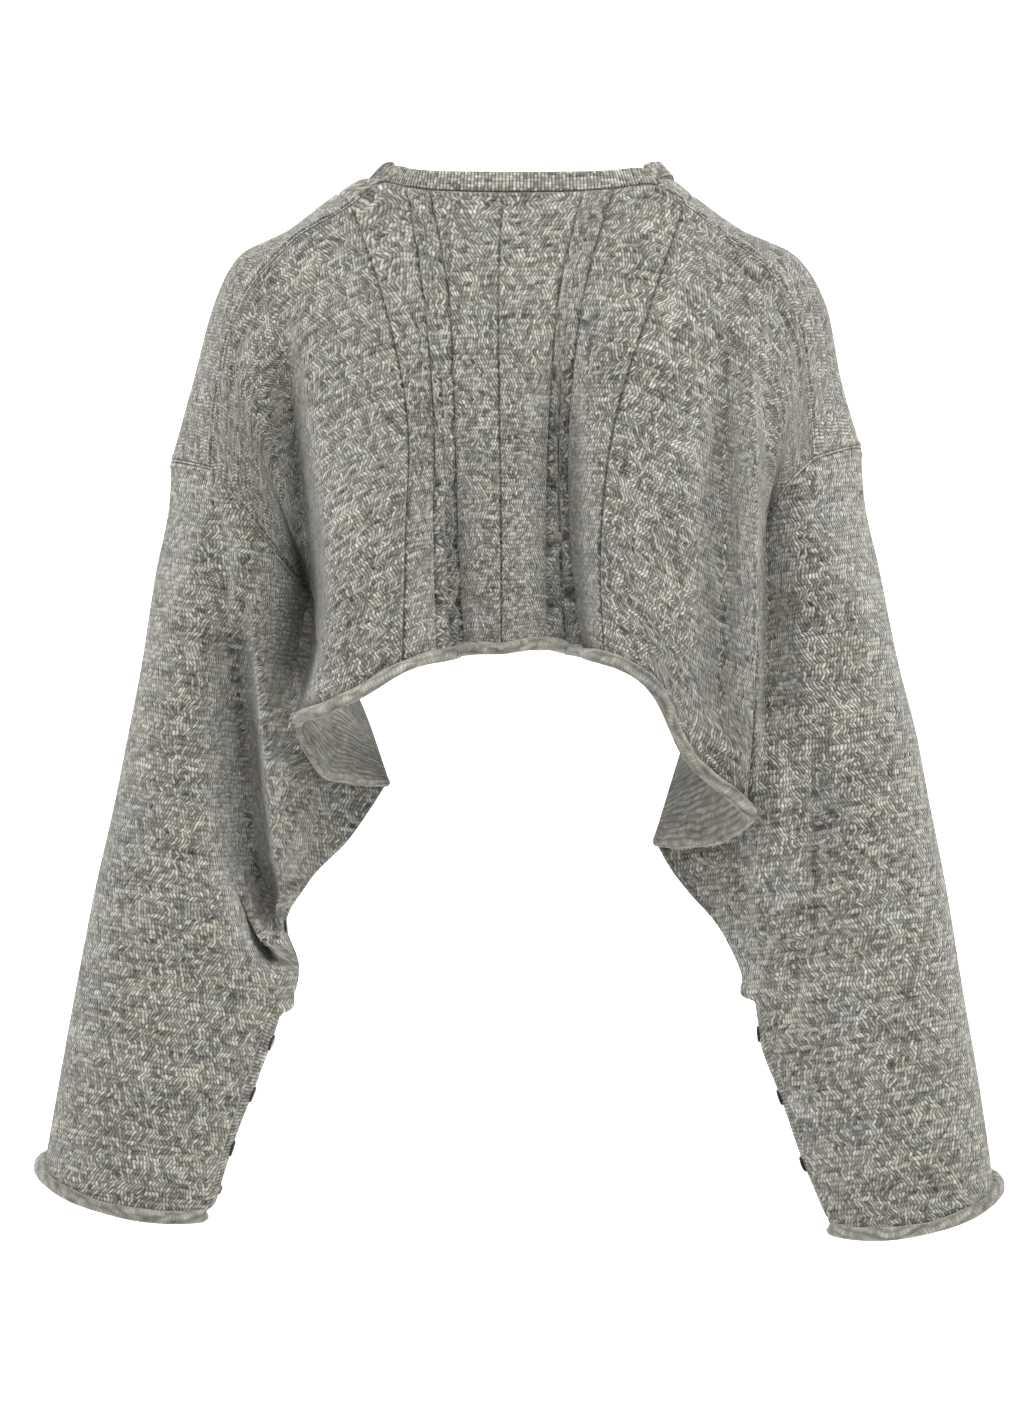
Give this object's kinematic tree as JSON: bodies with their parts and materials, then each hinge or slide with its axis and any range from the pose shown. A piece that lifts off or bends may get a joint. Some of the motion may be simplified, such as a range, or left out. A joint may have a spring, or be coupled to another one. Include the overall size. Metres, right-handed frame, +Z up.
{
  "type": "pullover sweater",
  "caption": "Very short long-sleeved pullover in marl knit, worn and filled out, hollow, with rolled hem and cuffs and buttoned open sleeve seams.",
  "frame": {"origin": "base of the neck, midway between the shoulders, where the wearer holds the garment", "axes": "+X to the wearer's left, -Y to the wearer's front, +Z up"},
  "size_m": [0.6816, 0.2563, 0.7503],
  "materials": {
    "knit": "marl wool plain knit, matt, slightly hairy",
    "rib": "marl wool fine rib, matt",
    "placket_rib": "marl wool narrow band, matt",
    "button": "near-black, softly polished"
  },
  "bodies": {
    "root": {"back_panel": "knit", "front_panel": "knit", "sleeve_left": "knit", "sleeve_right": "knit", "neckband": "rib", "placket_left": "placket_rib", "placket_right": "placket_rib", "button_left_1": "button", "button_left_2": "button", "button_left_3": "button", "button_left_4": "button", "button_left_5": "button", "button_right_1": "button", "button_right_2": "button", "button_right_3": "button", "button_right_4": "button", "button_right_5": "button"}
  },
  "joints": []
}
